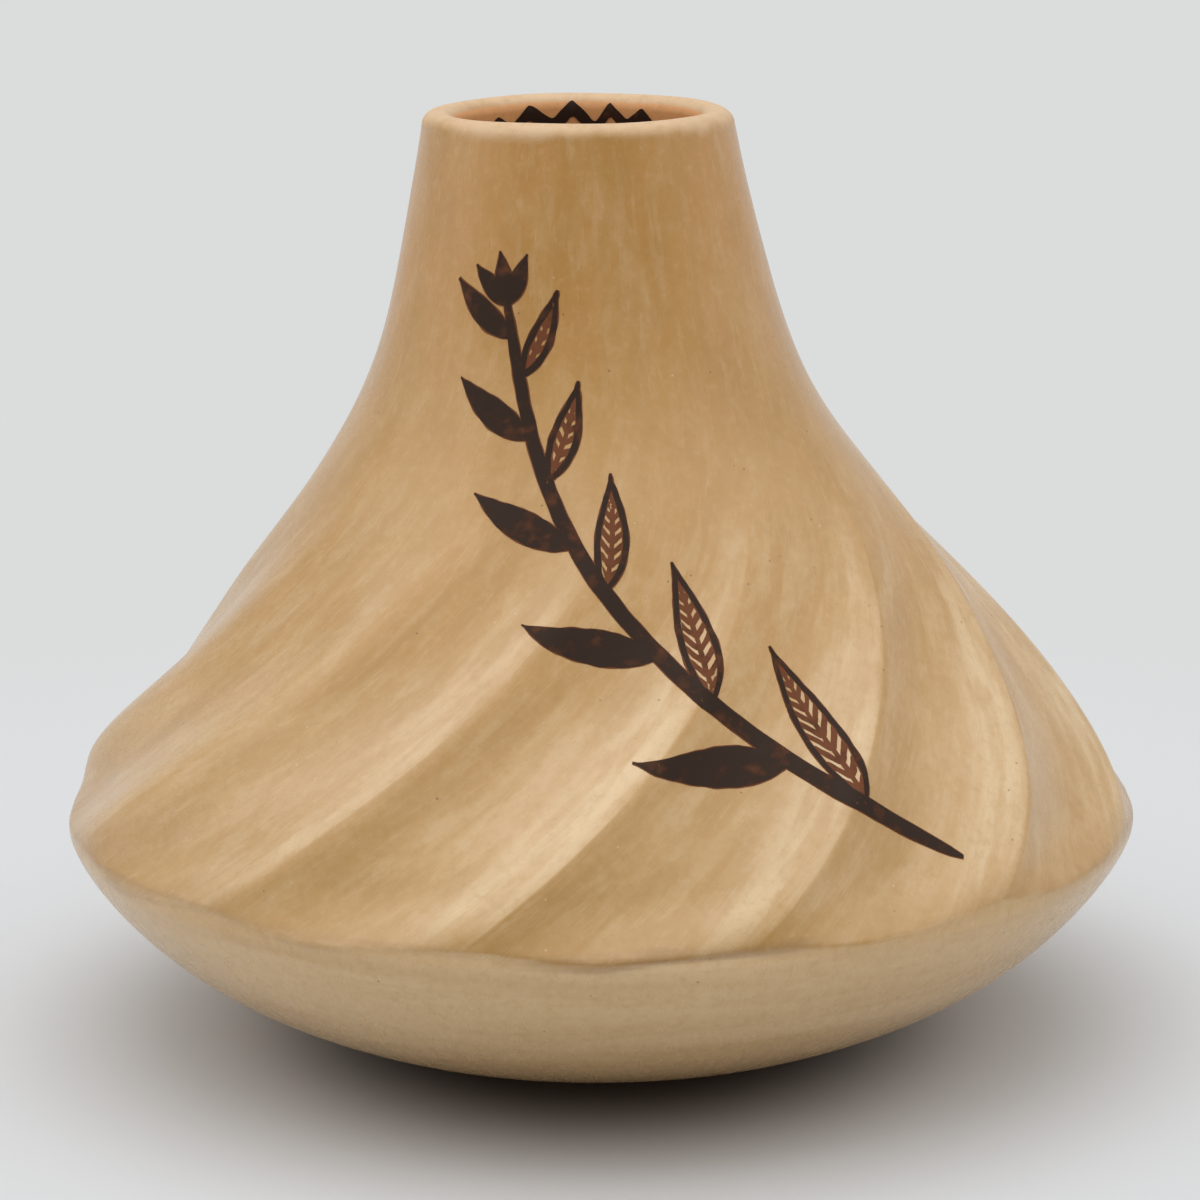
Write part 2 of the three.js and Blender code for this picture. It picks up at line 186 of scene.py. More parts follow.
@labelled
class JarColours(bpy.types.PropertyGroup):
    """Colours of the slip, the bare clay, the paint and the stage."""

    slip: colour("Tan slip, rubbed", "BC9053")
    # Also laid on right of the crests and above the crease as painted shade
    slip_dark: colour("Ochre slip where it lies thick", "AA8042")
    # Also laid on left of the crests as painted sheen
    slip_light: colour("Cream slip where it was rubbed thin", "E0C69B")
    neck: colour("Slip of the neck, a little redder", "B98442")
    bowl: colour("Slip of the bowl, a little greyer", "C4A273")
    # This colour is laid as a broken dark line along the crease over the edge
    crease: colour("Grime caught in the crease over the edge", "7E5E3C")
    lip: colour("Pale clay of the lip", "D3B28A")
    inside: colour("Peach-coloured bare clay inside the neck", "DE9F62")
    paint: colour("Dark brown paint", "34251C")
    paint_thin: colour("Red-brown edge where the paint runs thin", "6E4128")
    floor: colour("Floor", "D7D8D9")
    backdrop: colour("Floor far from the jar, and the wall behind", "DBDCDC")
    # A painted shadow: the floor's colour close under the bowl
    shadow: colour("Floor close under the bowl, where hardly any light falls", "635242")


def ease(values, low, high):
    """0 below low, 1 above high, and smooth between."""
    share = np.clip((values - low) / (high - low), 0.0, 1.0)
    return share * share * (3.0 - 2.0 * share)


def around(radius, angle, height, centre=0.0):
    """Points at radii and at angles from the front, round an upright line."""
    return np.stack([radius * np.sin(angle) + centre, -radius * np.cos(angle), height], axis=-1)


class JarSurface:
    """The shape of the jar's wall, for arrays of heights and azimuths."""

    def __init__(self, sizes):
        self.sizes = sizes
        edge = sizes.edge_height
        turn = edge + sizes.turn_rise
        self.lip_foot = RIM_TOP - sizes.lip_round
        self.bowl = (
            (sizes.foot_radius, 0.0),
            (sizes.foot_radius + sizes.foot_sweep, sizes.foot_sweep * sizes.foot_lift),
            (EDGE_RADIUS, edge - sizes.edge_sweep_down),
            (EDGE_RADIUS, edge),
        )
        slant = sizes.shoulder_fall
        self.shoulder = (
            (EDGE_RADIUS, edge),
            (EDGE_RADIUS, edge + sizes.edge_sweep_up),
            (sizes.turn_radius + sizes.shoulder_sweep * slant, turn - sizes.shoulder_sweep),
            (sizes.turn_radius, turn),
        )
        self.neck = (
            (sizes.turn_radius, turn),
            (sizes.turn_radius - sizes.neck_sweep * slant, turn + sizes.neck_sweep),
            (sizes.rim_radius + sizes.rim_sweep * sizes.rim_taper, self.lip_foot - sizes.rim_sweep),
            (sizes.rim_radius, self.lip_foot),
        )
        outline = np.concatenate([self.along(curve) for curve in (self.bowl, self.shoulder, self.neck)])
        self.radii = outline[:, 0]
        self.heights = outline[:, 1]
        steps = np.hypot(np.diff(self.radii), np.diff(self.heights))
        self.lengths = np.concatenate([[0.0], np.cumsum(steps)])

    @staticmethod
    def along(curve, samples=400):
        """Points along a cubic curve."""
        share = np.linspace(0.0, 1.0, samples)[:, None]
        start, start_handle, end_handle, end = (np.array(point) for point in curve)
        rest = 1.0 - share
        return (
            rest**3 * start
            + 3 * rest**2 * share * start_handle
            + 3 * rest * share**2 * end_handle
            + share**3 * end
        )

    def crest_radius(self, height):
        return np.interp(height, self.heights, self.radii)

    def length_along(self, height):
        """Distance along the outline from the foot."""
        return np.interp(height, self.heights, self.lengths)

    def slope(self, height):
        reach = 0.5 * MM
        return (self.crest_radius(height + reach) - self.crest_radius(height - reach)) / (2 * reach)

    def swirl(self, height):
        """Turn of the ribs between the edge and a height."""
        sizes = self.sizes
        easing = sizes.swirl_top - sizes.swirl_ease
        rise = np.clip(height - sizes.edge_height, 0.0, sizes.swirl_top)
        eased = np.clip(rise - sizes.swirl_ease, 0.0, None)
        return sizes.rib_swirl * (rise - eased**2 / (2 * easing)) / (sizes.swirl_top - easing / 2)

    def azimuth(self, ribs, height):
        """Azimuth of a place counted in ribs."""
        even = FULL_TURN / self.sizes.rib_count * ribs
        drift = self.sizes.rib_drift * np.sin(np.radians(even))
        return self.sizes.rib_first + even - drift + self.swirl(height)

    def ribs(self, azimuth, height):
        """Place counted in ribs, from an azimuth."""
        turned = azimuth - self.sizes.rib_first - self.swirl(height)
        even = turned
        for _ in range(12):
            even = turned + self.sizes.rib_drift * np.sin(np.radians(even))
        return even * self.sizes.rib_count / FULL_TURN

    def left_share(self, ribs):
        """How much a place counts as left, where the ribs are worn: 0 to 1."""
        return np.clip(-np.sin(2 * np.pi * ribs / self.sizes.rib_count), 0.0, 1.0) ** 2

    def hollow_shape(self, ribs):
        """0 on a crest, which is a little rounded, and 1 midway between two."""
        sizes = self.sizes
        soft = sizes.rib_round + sizes.rib_worn * self.left_share(ribs)
        return (np.hypot(np.sin(np.pi * ribs), soft) - soft) / (np.hypot(1.0, soft) - soft)

    def crease_rise(self, ribs):
        """Height above the edge where the hollow starts: lowest in the middle of a hollow."""
        sizes = self.sizes
        return sizes.crease_high + (sizes.crease_low - sizes.crease_high) * np.sin(np.pi * ribs) ** 2

    def fade(self, height):
        sizes = self.sizes
        return 1.0 - ease(height - sizes.edge_height, sizes.rib_fade, sizes.rib_top)

    def hollow(self, ribs, height):
        """Depth of the hollow below the crest line."""
        sizes = self.sizes
        rise = height - sizes.edge_height - self.crease_rise(ribs)
        share = np.clip(rise / sizes.scoop_rise, 0.0, 1.0)
        scoop = share * (2.0 - share)
        shape = self.hollow_shape(ribs)
        rubbed = ease(height - sizes.edge_height, sizes.rubbed_from, sizes.rubbed_to)
        shape = shape + (1.0 - shape) * sizes.rib_rubbed * self.left_share(ribs) * rubbed
        return sizes.rib_depth * shape * scoop * self.fade(height)

    def centre(self, height):
        """Where the middle of the jar stands at a height: the neck leans, the shoulder bulges."""
        sizes = self.sizes
        lean = np.clip(height - sizes.edge_height, 0.0, None) / (RIM_TOP - sizes.edge_height)
        off = np.clip((height - sizes.bulge_height) / sizes.bulge_reach, -1.0, 1.0)
        return sizes.bulge * (1.0 - off**2) ** 2 - sizes.neck_lean * lean

    def waves(self, azimuth, height):
        """Soft waves in the wall, none at the foot and the lip."""
        turn = np.radians(azimuth)
        rise = 2 * np.pi * height / RIM_TOP
        waves = 0.5 * np.sin(2 * turn + rise) + 0.3 * np.sin(5 * turn - 2 * rise + 2.0)
        waves += 0.25 * np.sin(9 * turn + 3 * rise + 4.0) + 0.25 * np.sin(4 * turn + 5 * rise)
        kept = ease(height, 0.0, 8 * MM) * (1.0 - ease(height, self.lip_foot - LIP_BLEND, self.lip_foot))
        return self.sizes.unevenness * waves * kept

    def outer_radius(self, azimuth, ribs, height):
        radius = self.crest_radius(height) - self.hollow(ribs, height) + self.waves(azimuth, height)
        return np.minimum(radius, EDGE_RADIUS)

    def points(self, azimuth, height, lift=0.0):
        """Points on the outside, lifted off it."""
        ribs = self.ribs(azimuth, height)
        slope = self.slope(height)
        upright = 1.0 / np.sqrt(1.0 + slope**2)
        radius = self.outer_radius(azimuth, ribs, height) + lift * upright
        lifted = height - lift * slope * upright
        return around(radius, np.radians(azimuth), lifted, self.centre(height))

    def inner_radius(self, height):
        """Radius of the inside of the neck, up over the round of the lip."""
        (top, _, top_handle), (low, low_handle, _) = self.inner_wall()[:2]
        neck = self.along((top, top_handle, low_handle, low))[::-1]
        corner = self.sizes.lip_round
        over = np.clip(height - self.lip_foot, 0.0, corner)
        return np.interp(height, neck[:, 1], neck[:, 0]) + corner - np.sqrt(corner**2 - over**2)

    def inner_wall(self):
        """Corners of the inside as (radius, height), with handles below and above each."""
        sizes = self.sizes
        mouth = sizes.rim_radius - sizes.lip_wall
        edge = sizes.edge_height
        turn = edge + sizes.turn_rise
        turn_radius = sizes.turn_radius - 2 * sizes.body_wall
        edge_radius = EDGE_RADIUS - sizes.body_wall
        return (
            ((mouth, self.lip_foot), (mouth, RIM_TOP), (mouth + 8 * MM, self.lip_foot - 40 * MM)),
            (
                (turn_radius, turn), (turn_radius - 22 * MM, turn + 28 * MM),
                (turn_radius + 11 * MM, turn - 13 * MM),
            ),
            ((edge_radius, edge), (edge_radius, edge + 9 * MM), (edge_radius, edge - 5 * MM)),
            ((sizes.foot_radius, FLOOR_TOP), (sizes.foot_radius + 34 * MM, FLOOR_TOP), (0.0, FLOOR_TOP)),
            ((0.0, FLOOR_TOP), (sizes.foot_radius / 2, FLOOR_TOP), (0.0, FLOOR_TOP)),
        )


def jar_surface():
    return JarSurface(bpy.context.scene.jar_sizes)


# Helpers for modelling

def leave_edit_mode():
    bpy.ops.object.mode_set(mode="OBJECT")


def deselect():
    if bpy.context.object and bpy.context.object.mode != "OBJECT":
        leave_edit_mode()
    bpy.ops.object.select_all(action="DESELECT")


def choose(piece):
    """Makes a piece the only one selected."""
    deselect()
    piece.select_set(True)
    bpy.context.view_layer.objects.active = piece


def in_edit_mode(piece):
    """Opens a piece in edit mode with all of it selected."""
    choose(piece)
    bpy.ops.object.mode_set(mode="EDIT")
    bpy.ops.mesh.select_all(action="SELECT")


def read_points(mesh):
    points = np.empty(len(mesh.vertices) * 3)
    mesh.vertices.foreach_get("co", points)
    return points.reshape(-1, 3)


def write_points(mesh, points):
    mesh.vertices.foreach_set("co", np.ascontiguousarray(points, dtype=np.float64).ravel())
    mesh.update()


def store(mesh, name, kind, values):
    """A named attribute, one value or one vector for each vertex."""
    layer = mesh.attributes.new(name, kind, "POINT")
    field = "vector" if kind == "FLOAT_VECTOR" else "value"
    layer.data.foreach_set(field, np.ascontiguousarray(values, dtype=np.float32).ravel())


def thicken(piece, thickness):
    """Gives a film its thickness, away from the side that its faces look to."""
    choose(piece)
    film = piece.modifiers.new("film", "SOLIDIFY")
    film.thickness = thickness
    film.offset = -1.0
    bpy.ops.object.modifier_apply(modifier=film.name)


def finish_piece(piece, name, material, slot, *nodes):
    """Names a finished piece, gives it its material, and puts it in the frame."""
    choose(piece)
    bpy.ops.object.transform_apply(location=True, rotation=True, scale=True)
    bpy.ops.object.shade_smooth_by_angle(angle=math.radians(SMOOTH_UP_TO))
    piece.name = name
    piece.data.name = name
    piece.data.materials.clear()
    piece.data.materials.append(material)
    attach(piece, "root")
    if nodes:
        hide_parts(*nodes)


# Helpers for materials

def feed(socket, value):
    """Sets an input to a number or a colour, or links it to the socket that gives one."""
    if isinstance(value, bpy.types.NodeSocket):
        socket.id_data.links.new(value, socket)
    else:
        socket.default_value = value


def feed_all(node, inputs):
    for key, value in inputs.items():
        feed(node.inputs[key], value)


def add_node(tree, kind, inputs=None, **settings):
    """A node with its settings and with its inputs fed."""
    made = tree.nodes.new(kind)
    for name, value in settings.items():
        setattr(made, name, value)
    feed_all(made, inputs or {})
    return made


def new_material(name):
    """A material with its node tree, its shader and the place on the object."""
    material = bpy.data.materials.new(name)
    material.use_nodes = True
    tree = material.node_tree
    place = add_node(tree, "ShaderNodeTexCoord").outputs["Object"]
    return material, tree, tree.nodes["Principled BSDF"], place


def attribute(tree, name, output="Fac"):
    return add_node(tree, "ShaderNodeAttribute", attribute_name=name).outputs[output]


def parts(vector):
    """The outputs X, Y and Z of a vector."""
    return add_node(vector.id_data, "ShaderNodeSeparateXYZ", {"Vector": vector}).outputs


def cloud(vector, scale, detail, roughness, distortion=0.0):
    """Soft noise from 0 to 1."""
    inputs = {"Scale": scale, "Detail": detail, "Roughness": roughness, "Distortion": distortion}
    return add_node(vector.id_data, "ShaderNodeTexNoise", {"Vector": vector, **inputs}).outputs["Fac"]


def mapped(vector, scale, location):
    inputs = {"Vector": vector, "Scale": scale, "Location": location}
    return add_node(vector.id_data, "ShaderNodeMapping", inputs).outputs["Vector"]


def spread(value, low, high, to_low=0.0, to_high=1.0):
    """Stretches a range of a value to another, smoothly."""
    inputs = {"Value": value, "From Min": low, "From Max": high, "To Min": to_low, "To Max": to_high}
    made = add_node(value.id_data, "ShaderNodeMapRange", inputs, interpolation_type="SMOOTHSTEP")
    return made.outputs["Result"]


def calculate(operation, first, second=0.0):
    made = add_node(first.id_data, "ShaderNodeMath", {0: first, 1: second}, operation=operation)
    return made.outputs[0]


def times(first, second):
    return calculate("MULTIPLY", first, second)


def merge(share, first, second):
    """Mixes two values by a share from 0 to 1."""
    inputs = {"Factor": share, "A": first, "B": second}
    return add_node(share.id_data, "ShaderNodeMix", inputs).outputs["Result"]


def blend(share, first, second):
    """Mixes two colours by a share from 0 to 1."""
    made = add_node(share.id_data, "ShaderNodeMix", data_type="RGBA")
    for key, value in (("Factor_Float", share), ("A_Color", first), ("B_Color", second)):
        feed(next(entry for entry in made.inputs if entry.identifier == key), value)
    return next(entry for entry in made.outputs if entry.identifier == "Result_Color")


def tinted(body, tint, value, low, high, amount=1.0):
    """Lays a tint on a colour: none where a value is at low, the amount where it is at high."""
    return blend(spread(value, low, high, 0.0, amount), body, tint)


def new_group(name, numbers, outputs):
    """A shader node group that takes a vector and named numbers and puts out numbers."""
    group = bpy.data.node_groups.new(name, "ShaderNodeTree")
    group.interface.new_socket(name="Vector", in_out="INPUT", socket_type="NodeSocketVector")
    for side, labels in (("INPUT", numbers), ("OUTPUT", outputs)):
        for label in labels:
            group.interface.new_socket(name=label, in_out=side, socket_type="NodeSocketFloat")
    source = group.nodes.new("NodeGroupInput").outputs
    sink = group.nodes.new("NodeGroupOutput").inputs
    return group, source, sink


def rubbing_group():
    """What a rubbing stone leaves in the slip: soft blotches and fine streaks along its strokes."""
    group, source, sink = new_group("Rubbing marks", ("Across", "Along"), ("Blotches", "Streaks"))
    sides = {"X": source["Across"], "Y": source["Across"], "Z": source["Along"]}
    scale = add_node(group, "ShaderNodeCombineXYZ", sides).outputs["Vector"]
    stretched = add_node(
        group, "ShaderNodeVectorMath", {0: source["Vector"], 1: scale}, operation="MULTIPLY"
    ).outputs["Vector"]
    finer = mapped(stretched, (4.0, 4.0, 2.0), (7.0, 3.0, 5.0))
    feed(sink["Blotches"], cloud(stretched, 1.0, 3.0, 0.55, 0.6))
    feed(sink["Streaks"], cloud(finer, 1.0, 3.0, 0.6, 0.3))
    return group


def specks_group():
    """Sparse specks: small dark grains in the clay and tiny pits."""
    group, source, sink = new_group("Clay specks", ("Scale", "Amount"), ("Specks",))
    inputs = {"Vector": source["Vector"], "Scale": source["Scale"], "Randomness": 1.0}
    cells = add_node(group, "ShaderNodeTexVoronoi", inputs, feature="F1").outputs
    pick = add_node(group, "ShaderNodeSeparateColor", {"Color": cells["Color"]}).outputs["Red"]
    kept = calculate("LESS_THAN", pick, source["Amount"])
    feed(sink["Specks"], times(spread(cells["Distance"], 0.16, 0.06), kept))
    return group


def use_group(tree, group, **inputs):
    return add_node(tree, "ShaderNodeGroup", inputs, node_tree=group)


def rubbed_slip():
    """Tan slip rubbed along the ribs, with painted sheen and shade by the crests and above the crease, a
    greyer bowl, a pale lip and a peach inside.
    """
    colours = bpy.context.scene.jar_colours
    sizes = bpy.context.scene.jar_sizes
    material, tree, shader, place = new_material("Rubbed slip")
    height = parts(place)["Z"]
    flow = attribute(tree, "flow", "Vector")
    level = attribute(tree, "level", "Vector")
    turn = parts(attribute(tree, "rib_turn", "Vector"))
    marks, specks = rubbing_group(), specks_group()
    # On the narrow neck the same strokes lie closer together, so they are drawn wider there
    neck = spread(height, RIM_TOP - 75 * MM, RIM_TOP - 40 * MM)
    fine, soft = {}, {}
    for strokes, on_shoulder, on_neck in (
        (fine, (210.0, 85.0), (75.0, 60.0)),
        (soft, (75.0, 28.0), (34.0, 22.0)),
    ):
        low, high = (
            use_group(tree, marks, Vector=flow, Across=across, Along=along).outputs
            for across, along in (on_shoulder, on_neck)
        )
        for name in ("Blotches", "Streaks"):
            strokes[name] = merge(neck, low[name], high[name])
    grain = cloud(place, 560.0, 5.0, 0.8)
    bowl_marks = use_group(tree, marks, Vector=level, Across=90.0, Along=75.0).outputs
    dark_specks = use_group(tree, specks, Vector=place, Scale=560.0, Amount=0.05).outputs["Specks"]
    shifted = mapped(place, (1, 1, 1), (0.31, 0.17, 0.23))
    pale_specks = use_group(tree, specks, Vector=shifted, Scale=640.0, Amount=0.02).outputs["Specks"]

    # Redder on the neck and paler low on the shoulder
    edge, pale, dark = sizes.edge_height, colours.slip_light, colours.slip_dark
    body = tinted(colours.slip, colours.neck, height, RIM_TOP - 60 * MM, RIM_TOP - 15 * MM, 0.75)
    body = tinted(body, pale, height, edge + 50 * MM, edge + 15 * MM, 0.17)

    # Blotches of thick ochre and thin cream slip, then fine streaks
    body = tinted(body, dark, soft["Blotches"], 0.62, 0.36, 0.36)
    body = tinted(body, dark, fine["Blotches"], 0.5, 0.3, 0.2)
    thin = spread(fine["Blotches"], 0.45, 0.7, 0.0, 0.22)
    body = blend(times(thin, spread(neck, 0.0, 1.0, 1.0, 0.5)), body, pale)
    body = tinted(body, pale, fine["Streaks"], 0.45, 0.75, 0.1)
    body = tinted(body, dark, fine["Streaks"], 0.45, 0.25, 0.1)

    # Left of each crest the slip is painted pale up to the crest, partly slip rubbed thin and partly
    # painted sheen; right of it lies a dark line, partly ochre slip and partly painted shade
    angle = calculate("ARCTAN2", turn["Y"], turn["X"])
    rubbed = times(spread(angle, -2.3, -0.9), spread(angle, 0.3, -0.8, 0.4, 1.0))
    patchy = spread(soft["Streaks"], 0.38, 0.62, 0.2, 1.0)
    strength = times(patchy, turn["Z"])
    rubbed = times(times(rubbed, spread(angle, 0.0, -0.06)), strength)
    body = blend(times(rubbed, 0.65), body, pale)
    for width, amount in ((1.3, 0.15), (0.25, 0.3)):
        ridge_slip_and_shade = times(spread(angle, -0.02, 0.05), spread(angle, width, 0.05))
        ridge_slip_and_shade = times(times(ridge_slip_and_shade, strength), amount)
        body = blend(ridge_slip_and_shade, body, dark)

    # Low on the shoulder, painted shade darkens the slip towards the crease
    crease = calculate("SUBTRACT", height, attribute(tree, "crease"))
    body = tinted(body, dark, crease, 6 * MM, 0.0, 0.45)

    # The bowl is greyer and streaked level
    bowl = tinted(colours.bowl, pale, bowl_marks["Blotches"], 0.4, 0.7, 0.3)
    bowl = tinted(bowl, dark, bowl_marks["Streaks"], 0.5, 0.3, 0.15)
    ragged = spread(bowl_marks["Streaks"], 0.25, 0.75, -0.8 * MM, 0.8 * MM)
    crease = calculate("ADD", crease, ragged)
    body = tinted(body, bowl, crease, 0.5 * MM, -0.5 * MM)

    # A broken dark line lies along the crease
    off_line = calculate("ABSOLUTE", crease)
    broken = spread(bowl_marks["Blotches"], 0.4, 0.68, 0.05, 0.65)
    line = times(spread(off_line, 1.8 * MM, 0.0), broken)
    body = blend(line, body, colours.crease)

    # Pale lip and peach inside
    uneven = calculate("ADD", height, times(soft["Blotches"], 5 * MM))
    lip = spread(uneven, RIM_TOP - 0.6 * MM, RIM_TOP + 2 * MM, 0.0, 0.9)
    body = blend(lip, body, colours.lip)
    inside = attribute(tree, "inside")
    body = blend(inside, body, colours.inside)

    # Grain and specks of the clay
    body = tinted(body, dark, grain, 0.55, 0.25, 0.4)
    body = tinted(body, colours.lip, grain, 0.5, 0.8, 0.4)
    body = blend(times(dark_specks, 0.5), body, colours.paint)
    body = blend(pale_specks, body, colours.lip)

    sheen = spread(fine["Streaks"], 0.3, 0.7, 0.2, 0.3)
    dull = calculate("MAXIMUM", lip, inside)
    relief = calculate("ADD", times(fine["Streaks"], 0.3), soft["Blotches"])
    relief = calculate("SUBTRACT", relief, dark_specks)
    relief = {"Height": relief, "Strength": 0.1, "Distance": 0.5 * MM}
    bump = add_node(tree, "ShaderNodeBump", relief).outputs["Normal"]
    rough = merge(dull, sheen, 0.6)
    feed_all(shader, {"Base Color": body, "Roughness": rough, "IOR": 1.6, "Normal": bump})
    return material


def brushed_paint(name, mostly, partly):
    """Paint laid on by brush, mostly of one colour and partly of another where it runs thin."""
    material, _, shader, place = new_material(name)
    wash = cloud(place, 260.0, 4.0, 0.6)
    tint = tinted(mostly, partly, wash, 0.5, 0.75, 0.6)
    rough = spread(wash, 0.3, 0.7, 0.5, 0.7)
    feed_all(shader, {"Base Color": tint, "Roughness": rough, "Specular IOR Level": 0.12})
    return material


# The wall

COLUMNS_PER_RIB = 33
CREST_GATHER = 0.65  # how much the columns gather at the crests, 0 to 1
QUARTER_ROUND = 0.5523  # handle length of a quarter circle, for a radius of 1


def draw_stretch(name, corners, steps):
    """A stretch of the outline in the XZ plane. A corner is a point and its two handles."""
    deselect()
    bpy.ops.curve.primitive_bezier_curve_add()
    stretch = bpy.context.object
    stretch.name = name
    spline = stretch.data.splines[0]
    spline.bezier_points.add(len(corners) - 2)
    for anchor, corner in zip(spline.bezier_points, corners):
        anchor.handle_left_type = anchor.handle_right_type = "FREE"
        for part, (radius, height) in zip(("co", "handle_left", "handle_right"), corner):
            setattr(anchor, part, (radius, 0.0, height))
    stretch.data.resolution_u = steps
    bpy.ops.object.convert(target="MESH")
    return bpy.context.object


def single_curve(curve):
    """Corners of a stretch with one cubic curve."""
    start, start_handle, end_handle, end = curve
    return ((start, start, start_handle), (end, end_handle, end))


def lip_corners(surface):
    """Two quarter rounds over the lip, from outside to inside."""
    sizes = surface.sizes
    outer, mouth = sizes.rim_radius, sizes.rim_radius - sizes.lip_wall
    corner, foot, top = sizes.lip_round, surface.lip_foot, RIM_TOP
    pull = corner * QUARTER_ROUND
    return (
        ((outer, foot), (outer, foot), (outer, foot + pull)),
        ((outer - corner, top), (outer - corner + pull, top), (outer - corner, top)),
        ((mouth + corner, top), (mouth + corner, top), (mouth + corner - pull, top)),
        ((mouth, foot), (mouth, foot + pull), (mouth, foot)),
    )


def spun_wall(surface):
    """Draws the outline and spins it into the whole wall."""
    foot = surface.sizes.foot_radius
    sole = (((0.0, 0.0), (0.0, 0.0), (foot / 2, 0.0)), ((foot, 0.0), (foot / 2, 0.0), (foot, 0.0)))
    stretches = [
        draw_stretch("sole", sole, 4),
        draw_stretch("bowl", single_curve(surface.bowl), 46),
        draw_stretch("shoulder", single_curve(surface.shoulder), 64),
        draw_stretch("neck", single_curve(surface.neck), 56),
        draw_stretch("lip", lip_corners(surface), 7),
        draw_stretch("inside of the neck", surface.inner_wall()[:2], 26),
        draw_stretch("inside of the bowl", surface.inner_wall()[1:], 9),
    ]
    deselect()
    for stretch in stretches:
        stretch.select_set(True)
    bpy.context.view_layer.objects.active = stretches[0]
    bpy.ops.object.join()
    wall = bpy.context.object
    in_edit_mode(wall)
    bpy.ops.mesh.remove_doubles(threshold=SAME_PLACE)
    bpy.ops.mesh.spin(
        steps=COLUMNS_PER_RIB * surface.sizes.rib_count, angle=2 * math.pi,
        center=(0, 0, 0), axis=(0, 0, 1),
    )
    bpy.ops.mesh.select_all(action="SELECT")
    bpy.ops.mesh.remove_doubles(threshold=SAME_PLACE)
    bpy.ops.mesh.normals_make_consistent(inside=False)
    leave_edit_mode()
    return wall


def carve_ribs(wall, surface):
    """Swirls the spun wall, carves its hollows and stores what the slip follows."""
    mesh = wall.data
    points = read_points(mesh)
    radius = np.hypot(points[:, 0], points[:, 1])
    height = points[:, 2]
    ribs = np.degrees(np.arctan2(points[:, 0], -points[:, 1])) * surface.sizes.rib_count / FULL_TURN
    outside = np.abs(radius - surface.crest_radius(height)) < 0.3 * MM
    outside &= height <= surface.lip_foot + SAME_PLACE
    ribs = ribs - CREST_GATHER * np.sin(2 * np.pi * ribs) / (2 * np.pi)
    azimuth = surface.azimuth(ribs, height)
    angle = np.radians(azimuth)
    carved = np.where(outside, surface.outer_radius(azimuth, ribs, height), radius)
    dip = surface.sizes.lip_waver * (0.5 - 0.3 * np.cos(2 * angle) + 0.2 * np.sin(5 * angle))
    wavering = height - dip * ease(height, surface.lip_foot - LIP_BLEND, RIM_TOP)
    write_points(mesh, around(carved, angle, wavering, surface.centre(height)))

    # The slip's streaks follow the ribs on the shoulder, and lie level on the bowl
    girth = 60 * MM  # radius of the even tube on which the streaks are laid out
    squeeze = 0.16  # makes the streaks of the bowl long
    along = surface.length_along(height)
    still = np.radians(azimuth - surface.swirl(height))
    flow = around(girth, still, along)
    level = np.stack([along, squeeze * girth * np.sin(angle), -squeeze * girth * np.cos(angle)], axis=-1)
    # How strongly the painted sheen and shade by the crests show: they fade with the ribs, are absent on
    # the bowl and are weak on the worn left
    turn = 2 * np.pi * ribs
    strength = surface.fade(height) * (height > surface.sizes.edge_height)
    strength = strength * (1.0 - 0.85 * surface.left_share(ribs))
    rib_turn = np.stack([np.cos(turn), np.sin(turn), strength], axis=-1)
    store(mesh, "flow", "FLOAT_VECTOR", flow)
    store(mesh, "level", "FLOAT_VECTOR", level)
    store(mesh, "rib_turn", "FLOAT_VECTOR", rib_turn)
    store(mesh, "crease", "FLOAT", surface.sizes.edge_height + surface.crease_rise(ribs))
    # The inside is bare clay, up to just below the top of the lip
    mouth = surface.sizes.rim_radius - surface.sizes.lip_wall
    inside = radius < mouth + 0.5 * MM
    inside |= (radius < surface.crest_radius(height) - 3 * MM) & (height > MM)
    inside &= height < RIM_TOP - 1.3 * MM
    store(mesh, "inside", "FLOAT", inside.astype(float))


class POTTERY_OT_make_wall(bpy.types.Operator):
    """Spins the jar's outline into a wall, carves its swirling ribs and coats it with slip"""

    bl_idname = "pottery.make_wall"
    bl_label = "Make wall"

    def execute(self, context):
        surface = jar_surface()
        wall = spun_wall(surface)
        carve_ribs(wall, surface)
        finish_piece(wall, "jar_wall", rubbed_slip(), "clay", *WALL_NODES)
        return {"FINISHED"}


# The painting

CHART_DEGREE = 1.1 * MM  # strokes are drawn on a flat chart, with this width for each degree
CHART_CELL = 0.8 * MM
STROKE_STEP = 0.7 * MM  # between points along a leaf
STROKE_WAVER = 0.2 * MM  # how unsteady the edges of a stroke are
STROKE_LEAST = 0.1 * MM  # least half width of a stroke
LEAF_CURL = 12.0  # degrees from foot to tip
WASH_MARGIN = 0.35 * MM  # how much wider a stroke of the wash is than one of the coat
CHART_MERGE = 0.03 * MM  # points of the joined strokes that lie closer than this are joined


def sideways(angle):
    """Direction at a quarter turn to the left of an angle."""
    return np.stack([-np.sin(angle), np.cos(angle)], axis=-1)


